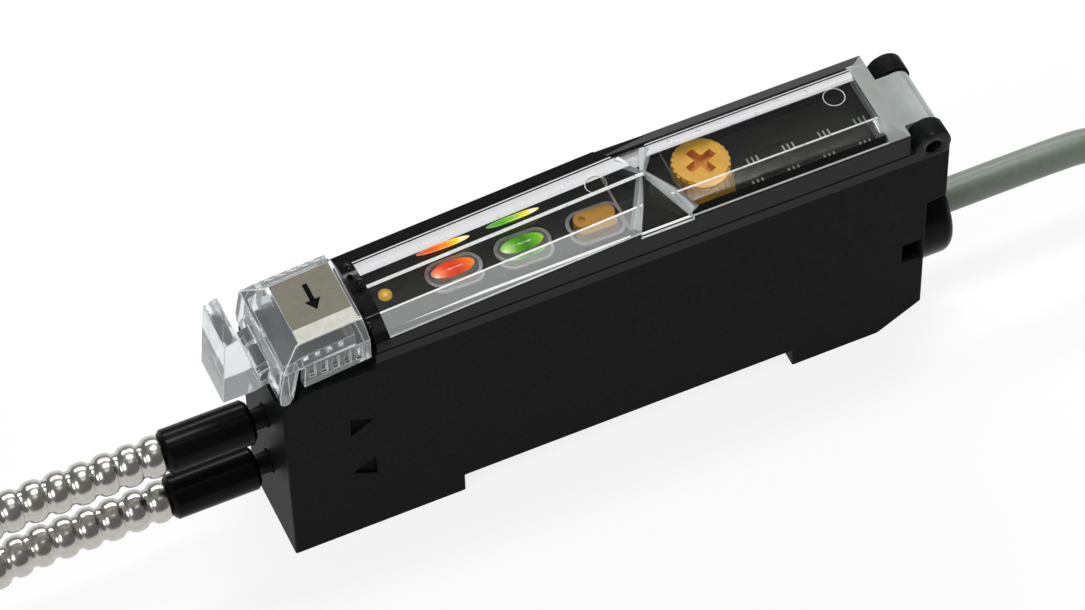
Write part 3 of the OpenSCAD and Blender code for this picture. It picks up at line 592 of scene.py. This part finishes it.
def cover_look(x, middle, normal):
    """The look of a face of the cover, or None where it keeps its own.
    The face's place and the way it faces tell walls, slopes and floors apart."""
    y, z = middle.y, middle.z
    from_waist = abs(x - WAIST_X)
    near_wall = y < NEAR_WALL_Y and normal.y < -0.8
    on_far_roof = 0.02 < normal.y < 0.5 and normal.z > 0.8 and from_waist > NOTCH_CLEAR
    on_near_slope = NEAR_WALL_Y < y < NEAR_SLOPE_Y and -0.5 < normal.y < -0.3 and normal.z > 0.85
    # The far notch's floor is pale: painted reflection
    if from_waist < NOTCH_FLOOR and y > NOTCH_FLOOR_Y and z > NOTCH_Z and normal.z > 0.3:
        return REFLECTION_PALE
    # The notches' walls get the white painted highlight
    if from_waist < NOTCH_WALL and abs(y) < NOTCH_WALL_Y and z > NOTCH_Z and abs(normal.z) < 0.2:
        return EDGE_HIGHLIGHT
    if x > KNUCKLE_X or x > REAR_BLOCK_X and y < FAR_BLACK_Y and not near_wall:
        return HAZY
    # The far wall's inner face is pale: painted reflection, which shows through the roof as a band
    if y > FAR_INSIDE_Y and normal.y < -0.7 and END_BLOCK_X < x < REAR_BLOCK_X:
        return REFLECTION_PALE
    # The front end block and the far side are black parts; the cover's clear near wall is painted glossy
    # black as well, as painted shade
    if x < END_BLOCK_X or y > FAR_BLACK_Y or near_wall:
        return GLOSS_AND_SHADE
    # Strips of the far ridge's rounding are pale: painted reflection of the lights
    if on_far_roof and (REFLECTION_Y[0] < y < REFLECTION_Y[1] or REFLECTION_LINE_Y[0] < y < REFLECTION_LINE_Y[1]):
        return REFLECTION_PALE
    # Past the pale band the ridge's rounding is glossy black: painted dark reflection, with a thin dark line
    # between the band and the pale line
    if on_far_roof and y > REFLECTION_Y[1]:
        return GLOSS_AND_SHADE
    # The near slope in front of the waist gets the painted pale reflection
    if on_near_slope and x < WAIST_X - NOTCH_CLEAR:
        return CLEAR_SHEEN
    return None


def add_cover():
    # Rounded ridges and edges get the white painted highlight
    highlight_slot = COVER_LOOKS.index(EDGE_HIGHLIGHT)
    bm = merged("cover")
    soften(bm, long_edges(bm, 0, ROOF_Z, 0, WAIST_X), RIDGE_EDGE, 2, highlight_slot)
    # The far facet's rounding is cut into fine strips, which take the painted reflection
    soften(bm, long_edges(bm, FACET_Y, ROOF_Z), FAR_FACET_EDGE, FAR_FACET_STEPS)
    soften(bm, long_edges(bm, -FACET_Y, ROOF_Z), NEAR_FACET_EDGE, 2, highlight_slot)
    soften(bm, long_edges(bm, -SIDE_Y, ROOF_Z), RIDGE_EDGE, 2, highlight_slot)
    split(bm, at(END_BLOCK_X, 0, 0), (1, 0, 0))
    split(bm, at(REAR_BLOCK_X, 0, 0), (1, 0, 0))
    split(bm, (0, REFLECTION_Y[0] * MM, 0), (0, 1, 0))
    for face in bm.faces:
        middle = face.calc_center_median() / MM
        look = cover_look(middle.x + X_MID, middle, face.normal)
        if look:
            face.material_index = COVER_LOOKS.index(look)
    stand_in("cover", bm, COVER_LOOKS)


def add_ring(i, place):
    """The round mark that an ejector pin leaves in the moulding, drawn white as a painted highlight."""
    bpy.ops.mesh.primitive_torus_add(major_radius=RING_R[0] * MM, minor_radius=RING_R[1] * MM,
                                     major_segments=40, minor_segments=8, location=at(*place))
    ring = bpy.context.object
    ring.name = "ejector_ring_" + str(i + 1)
    ring.data.materials.append(EDGE_HIGHLIGHT)
    shade(ring.data)
    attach(ring, "cover")


# Small glossy bumps along the front end block: their middles and half sizes
BUMPS = [(10.4, 2.6, 30.35), (10.6, 0.3, 30.75), (9.7, -4.1, 29.75)]
BUMP_HALF = (0.32, 0.55, 0.2)


def add_ellipsoid(name, place, half, body, mat, around=48, rings=16):
    """A ball stretched to three half sizes, in millimetres."""
    bm = bmesh.new()
    bmesh.ops.create_uvsphere(bm, u_segments=around, v_segments=rings, radius=MM,
                              matrix=Matrix.Translation(at(*place)) @ Matrix.Diagonal((*half, 1)))
    mesh = bpy.data.meshes.new(name)
    bm.to_mesh(mesh)
    bm.free()
    shade(mesh)
    mesh.materials.append(mat)
    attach(link(bpy.data.objects.new(name, mesh)), body)


# The X at the waist, whose bright facets are painted reflection drawn as silver arms: points along the crest
# of each arm, from the middle outwards
WAIST_ARMS = [[(39.5, 0.4, 31.38), (37.75, -3.0, 31.25), (36.55, -4.9, 30.45)],
              [(39.9, 0.4, 31.38), (41.6, -3.0, 31.36), (42.75, -4.9, 30.35)],
              [(39.55, 0.5, 31.38), (38.8, 1.8, 31.32), (38.1, 3.0, 31.25)],
              [(39.85, 0.5, 31.38), (40.6, 1.8, 31.38), (41.3, 3.0, 31.36)]]
ARM_HALF = (0.28, 0.5, 0.62)
ARM_CREST = 0.16
ARM_FOOT = -0.2


def add_arm(i, crest, mat):
    verts, faces = [], []
    for (x, y, z), half in zip(crest, ARM_HALF):
        ahead = Vector(crest[-1]) - Vector(crest[0])
        side = Vector((-ahead.y, ahead.x, 0)).normalized() * half
        for way, up in ((-1, ARM_FOOT), (0, ARM_CREST), (1, ARM_FOOT)):
            verts.append(at(x + way * side.x, y + way * side.y, z + up))
    for k in (0, 3):
        faces += [(k, k + 1, k + 4, k + 3), (k + 1, k + 2, k + 5, k + 4), (k, k + 3, k + 5, k + 2)]
    faces += [(0, 2, 1), (6, 7, 8)]
    arm = mesh_piece("waist_arm_" + str(i + 1), verts, faces, "cover", 1)
    arm.data.materials.append(mat)


# Ends of the far rail: X and the heights of its inner and outer edge; then its outer side and its foot
RAIL_ENDS = [(36, 30.78, 30.17), (43.4, 30.85, 30.0)]
RAIL_OUTER_Y = 5.45
RAIL_FOOT = (4.6, 28.6)


def add_far_rail():
    """The black far edge of the cover, which runs on past the finger notch."""
    verts = []
    foot_y, foot_z = RAIL_FOOT
    for x, inner_z, outer_z in RAIL_ENDS:
        section = [(FAR_BLACK_Y, inner_z), (RAIL_OUTER_Y, outer_z), (RAIL_OUTER_Y, foot_z), (foot_y, foot_z)]
        verts += [at(x, y, z) for y, z in section]
    faces = [(k, (k + 1) % 4, (k + 1) % 4 + 4, k + 4) for k in range(4)] + [(3, 2, 1, 0), (4, 5, 6, 7)]
    rail = mesh_piece("far_rail", verts, faces, "cover")
    rail.data.materials.append(GLOSS_AND_SHADE)


# Silver metal on the X's arms: painted reflection of the finger notch's bright facets
NOTCH_REFLECTION = paint("waist_painted_reflection", (0.8, 0.82, 0.84), 0.14, metal=0.5, grain=0.006, grain_size=700,
               speckle=0.06)
for i, crest in enumerate(WAIST_ARMS):
    add_arm(i, crest, NOTCH_REFLECTION)
add_far_rail()
add_cover()
for i, place in enumerate(RING_PLACES):
    add_ring(i, place)
for i, place in enumerate(BUMPS):
    add_ellipsoid("end_bump_" + str(i + 1), place, BUMP_HALF, "cover", GLOSS_AND_SHADE, 20, 12)


LEVER_EDGE = 0.07


def add_lever():
    # The lever's rounded edges get the white painted highlight
    looks = [MILKY, EDGE_HIGHLIGHT]
    bm = triangles("clamp_lever")
    soften(bm, sharp_edges(bm), LEVER_EDGE, 1, looks.index(EDGE_HIGHLIGHT))
    stand_in("clamp_lever", bm, looks)


add_lever()

# Panel and controls: the lamps' colours run from their hot spot outwards
RED = [(1, 0.95, 0.9), (0.95, 0.3, 0.14), (0.8, 0.06, 0.015), (0.62, 0.035, 0.01), (0.88, 0.14, 0.01),
       (1, 0.42, 0.02)]
GREEN = [(0.98, 1, 0.92), (0.45, 0.7, 0.2), (0.09, 0.36, 0.012), (0.03, 0.17, 0.006), (0.14, 0.45, 0.01),
         (0.5, 0.7, 0.04)]
AMBER = [(0.85, 0.6, 0.2), (0.5, 0.3, 0.04), (0.3, 0.17, 0.02)]
LAMP_TOP = 27.5
LAMP_HALF = (2.2, 0.88, 0.5)
LAMP_Y = 0.18
LAMP_REACH = 4.6
# From a lamp's middle to its hot spot
HOT_SPOT = (-1.85, -0.58, 0.2)
DOT_AT = (12.95, 0, 27.5)
DOT_REACH = 1
# The lamps' upper images, which the roof shows above its ridge
RED_IMAGE = [(1, 0.95, 0.75), (1, 0.72, 0.02), (0.95, 0.3, 0.01), (0.75, 0.1, 0.01), (0.45, 0.12, 0.08)]
GREEN_IMAGE = [(1, 1, 0.85), (1, 0.75, 0.02), (0.3, 0.55, 0.02), (0.08, 0.36, 0.01), (0.12, 0.3, 0.1)]
IMAGE_HALF = (2.75, 0.38, 0.05)
# The image's hot spot and reach along X, as shares of its half length
IMAGE_HOT = 0.75
IMAGE_REACH = 1.8


def add_lamp(name, x, colours):
    """The domed colour lens that stands in a lamp's clear window."""
    hot_at = at(x + HOT_SPOT[0], LAMP_Y + HOT_SPOT[1], LAMP_TOP + HOT_SPOT[2])
    glow = lit_lens("lamp_" + name, colours, hot_at, LAMP_REACH)
    add_ellipsoid(name + "_dome", (x, LAMP_Y, LAMP_TOP), LAMP_HALF, "case", glow)


def add_image(name, colours, x, y, z):
    """A thin lit strip within the cover's roof, which stands for a lamp's upper image."""
    half_x = IMAGE_HALF[0]
    glow = lit_lens(name, colours, at(x + IMAGE_HOT * half_x, y, z), IMAGE_REACH * half_x)
    add_ellipsoid(name, (x, y, z), IMAGE_HALF, "cover", glow)


dress("control_panel", paint("panel_grey", (0.016, 0.016, 0.0125), 0.55, grain=0.003, grain_size=2500,
                             Specular_IOR_Level=0.15))
dress("lamp_collars", paint("collar_grey", (0.42, 0.43, 0.42), 0.4, grain=0.005, grain_size=2500))
RIM = paint("lamp_rim", (0.2, 0.2, 0.19), 0.15, speckle=0.04)
for name in ("red_window", "green_window"):
    dress(name, RIM)
add_lamp("red", 19.95, RED)
add_lamp("green", 27.05, GREEN)
add_image("red_image", RED_IMAGE, 19.4, 0.98, 30.6)
add_image("green_image", GREEN_IMAGE, 26.6, 1.05, 30.75)
dress("dot_window", lit_lens("lamp_amber", AMBER, at(*DOT_AT), DOT_REACH))
dress("set_button", paint("button_ochre", (0.8, 0.38, 0.02), 0.45, grain=0.01, grain_size=1500))
# The screw's cross, darkened as painted shade: how far it reaches and how far below the top its painted shade
# starts
RECESS_R = 1.9
RECESS_DEPTH = 0.1
TOP_DEPTH = 0.05


def add_screw():
    """The screw, with painted shade in its cross, a darker orange there."""
    bm = triangles("adjust_screw")
    top = max(v.co.z for v in bm.verts)
    on_top = [v.co for v in bm.verts if v.co.z > top - TOP_DEPTH * MM]
    middle = sum(on_top, Vector()) / len(on_top)
    # Faces sunk in the cross get the darker orange of the painted shade
    for face in bm.faces:
        away = (face.calc_center_median() - middle) / MM
        face.material_index = int(math.hypot(away.x, away.y) < RECESS_R and away.z < -RECESS_DEPTH)
    bright = paint("screw_yellow", (1, 0.5, 0.015), 0.35, grain=0.01, grain_size=1500)
    recess_shade = paint("screw_recess_painted_shade", (0.85, 0.32, 0.012), 0.45, grain=0.01, grain_size=1500)
    stand_in("adjust_screw", bm, [bright, recess_shade])


add_screw()
# How far printed marks stand off what they are printed on
PRINT_LIFT = 0.015
TICK_X = (50.6, 54.4, 58.2, 62)
TICKS = 3
TICK_PITCH = 0.5
TICK_SIZE = (0.17, 0.7)
TICK_Y = -0.2


def add_ticks():
    """Plain printed ticks on the panel behind the screw."""
    top = max(v.co.z for v in NODES["control_panel"].data.vertices) / MM + PRINT_LIFT
    half_x, half_y = (side / 2 for side in TICK_SIZE)
    verts, faces = [], []
    for group_x in TICK_X:
        for i in range(TICKS):
            x = group_x + i * TICK_PITCH
            first = len(verts)
            verts += [at(x - half_x, TICK_Y - half_y, top), at(x + half_x, TICK_Y - half_y, top),
                      at(x + half_x, TICK_Y + half_y, top), at(x - half_x, TICK_Y + half_y, top)]
            faces.append((first, first + 1, first + 2, first + 3))
    ticks = mesh_piece("panel_ticks", verts, faces, "case")
    ticks.data.materials.append(paint("tick_grey", (0.5, 0.5, 0.48), 0.5, speckle=0.04))


add_ticks()
STEEL = paint("steel", (0.58, 0.58, 0.58), 0.3, metal=1.0, grain=0.003, grain_size=1500)
dress("hinge_pin", STEEL)
# Where the foil's painted highlight starts across it
FOIL_HIGHLIGHT_Y = -2.0


def add_foil():
    """Foil with a painted highlight, a bright band along its near edge."""
    bm = merged("lever_foil")
    split(bm, (0, FOIL_HIGHLIGHT_Y * MM, 0), (0, 1, 0))
    for face in bm.faces:
        face.material_index = int(face.calc_center_median().y < FOIL_HIGHLIGHT_Y * MM)
    # The band along the near edge is a painted highlight: light grey, not metal
    bright = paint("foil_painted_highlight", (0.5, 0.49, 0.44), 0.35, grain=0.003, grain_size=1500)
    stand_in("lever_foil", bm, [brushed("foil", (0.145, 0.137, 0.11), 0.34), bright])


# The foil's front edge and slope, the arrow's middle on it and the arrow's outline
FOIL_FRONT_X = 2.5
FOIL_FRONT_Z = 30.2
FOIL_SLOPE = 4.69
ARROW_MIDDLE = (3.4, 0.5)
ARROW = [(-0.25, 1.9), (-0.25, -0.1), (-0.8, -0.1), (0, -1.3), (0.8, -0.1), (0.25, -0.1), (0.25, 1.9)]


def add_arrow():
    """A plain arrow printed on the foil, which shows the way the lever is pressed."""
    slope = math.radians(FOIL_SLOPE)
    verts = []
    for x, y in ARROW:
        run = ARROW_MIDDLE[0] + x
        height = FOIL_FRONT_Z + run * math.sin(slope) + PRINT_LIFT
        verts.append(at(FOIL_FRONT_X + run * math.cos(slope), y + ARROW_MIDDLE[1], height))
    arrow = mesh_piece("foil_arrow", verts, [tuple(range(len(verts)))], "lever")
    arrow.data.materials.append(PRINT_AND_SHADE_BLACK)


add_foil()
add_arrow()

# Inside
BOARD = paint("board_green", (0.03, 0.15, 0.06), 0.45, grain=0.01, grain_size=1200)
SWITCH = paint("switch_black", (0.035, 0.035, 0.035), 0.5, grain=0.01, grain_size=2000)
DIODE = paint("led_white", (0.8, 0.78, 0.7), 0.35, grain=0.005, grain_size=2000)
for name in ("display_board", "main_board"):
    dress(name, BOARD)
for name in ("push_switch", "optics_block", "emitter", "receiver"):
    dress(name, SWITCH)
for name in ("red_led", "green_led", "dot_led"):
    dress(name, DIODE)
dress("potentiometer", paint("pot_blue", (0.05, 0.12, 0.4), 0.4, grain=0.01, grain_size=2000))

# Ends of the cords
RUBBER = paint("black_rubber", (0.003, 0.003, 0.003), 0.26, grain=0.002, grain_size=1500,
               Specular_IOR_Level=0.07)
JACKET = paint("jacket_black", (0.006, 0.006, 0.006), 0.35, grain=0.005, grain_size=1500,
               Specular_IOR_Level=0.15)
TIE = paint("tie_black", (0.03, 0.03, 0.03), 0.45, grain=0.01, grain_size=1500)
smooth("cable_gland", RUBBER)
for which in FIBRE_ROUTES:
    smooth("fibre_sleeve_" + which, RUBBER)
    smooth("fibre_jacket_" + which, JACKET)
    smooth("fibre_tip_" + which, STEEL)
for name in ("cable_tie", "fibre_tie"):
    dress(name, TIE)


# Floor and light
def background(nodes, links, shaded, white):
    """Shows white to the camera, mirrors and glass, and the shaded surface to the rest."""
    path = nodes.new("ShaderNodeLightPath")
    shows_white = path.outputs["Is Camera Ray"]
    for kind in ("Is Transmission Ray", "Is Glossy Ray"):
        either = nodes.new("ShaderNodeMath")
        either.operation = "MAXIMUM"
        links.new(shows_white, either.inputs[0])
        links.new(path.outputs[kind], either.inputs[1])
        shows_white = either.outputs["Value"]
    mix = nodes.new("ShaderNodeMixShader")
    links.new(shows_white, mix.inputs["Fac"])
    links.new(shaded, mix.inputs[1])
    links.new(white, mix.inputs[2])
    return mix.outputs["Shader"]


FLOOR_HALF = 3.0
# The share of plain white in the floor that the camera sees
FLOOR_WHITE = 0.85


def add_floor():
    corners = [(x * FLOOR_HALF, y * FLOOR_HALF, 0) for x, y in ((-1, -1), (1, -1), (1, 1), (-1, 1))]
    mesh = bpy.data.meshes.new("floor")
    mesh.from_pydata(corners, [], [(0, 1, 2, 3)])
    floor = link(bpy.data.objects.new("floor", mesh))
    mat = paint("floor", (0.86, 0.86, 0.86), 0.7, grain_size=60, speckle=0.01)
    nodes, links = mat.node_tree.nodes, mat.node_tree.links
    white = nodes.new("ShaderNodeEmission")
    white.inputs["Color"].default_value = (1, 1, 1, 1)
    shaded = nodes["Principled BSDF"].outputs["BSDF"]
    whiter = nodes.new("ShaderNodeMixShader")
    whiter.inputs["Fac"].default_value = FLOOR_WHITE
    links.new(shaded, whiter.inputs[1])
    links.new(white.outputs["Emission"], whiter.inputs[2])
    out = background(nodes, links, shaded, whiter.outputs["Shader"])
    links.new(out, nodes["Material Output"].inputs["Surface"])
    mesh.materials.append(mat)


LIGHT_AIM = (0, 0, 0.02)


def add_area(name, place, size, power):
    """A soft lamp that points at the part."""
    data = bpy.data.lights.new(name, "AREA")
    data.shape = "RECTANGLE"
    data.size, data.size_y = size
    data.energy = power
    lamp = link(bpy.data.objects.new(name, data))
    back = (Vector(place) - Vector(LIGHT_AIM)).normalized()
    across = Vector((1, 0, 0)) - back * back.x
    across.normalize()
    turn = Matrix((across, back.cross(across), back)).transposed()
    lamp.matrix_world = Matrix.Translation(place) @ turn.to_4x4()


WORLD_STRENGTH = 0.2
# Soft lamps: place and size in metres, and power in watts
LIGHTS = {
    "overhead": ((0.15, 0.17, 0.8), (0.35, 0.14), 3.4),
    "haze": ((0.08, -0.19, 0.72), (0.3, 0.16), 0.2),
    "back": ((0.15, 0.636, 0.505), (0.9, 0.104), 4.1),
    "key": ((-0.6, -0.25, 0.5), (0.35, 0.35), 2.2),
}


def add_light():
    world = bpy.data.worlds.new("studio")
    bpy.context.scene.world = world
    world.use_nodes = True
    sky = world.node_tree.nodes["Background"]
    sky.inputs["Color"].default_value = (1, 1, 1, 1)
    sky.inputs["Strength"].default_value = WORLD_STRENGTH
    for name, (place, size, power) in LIGHTS.items():
        add_area(name, place, size, power)


add_floor()
add_light()
bpy.context.scene.view_settings.view_transform = "Standard"
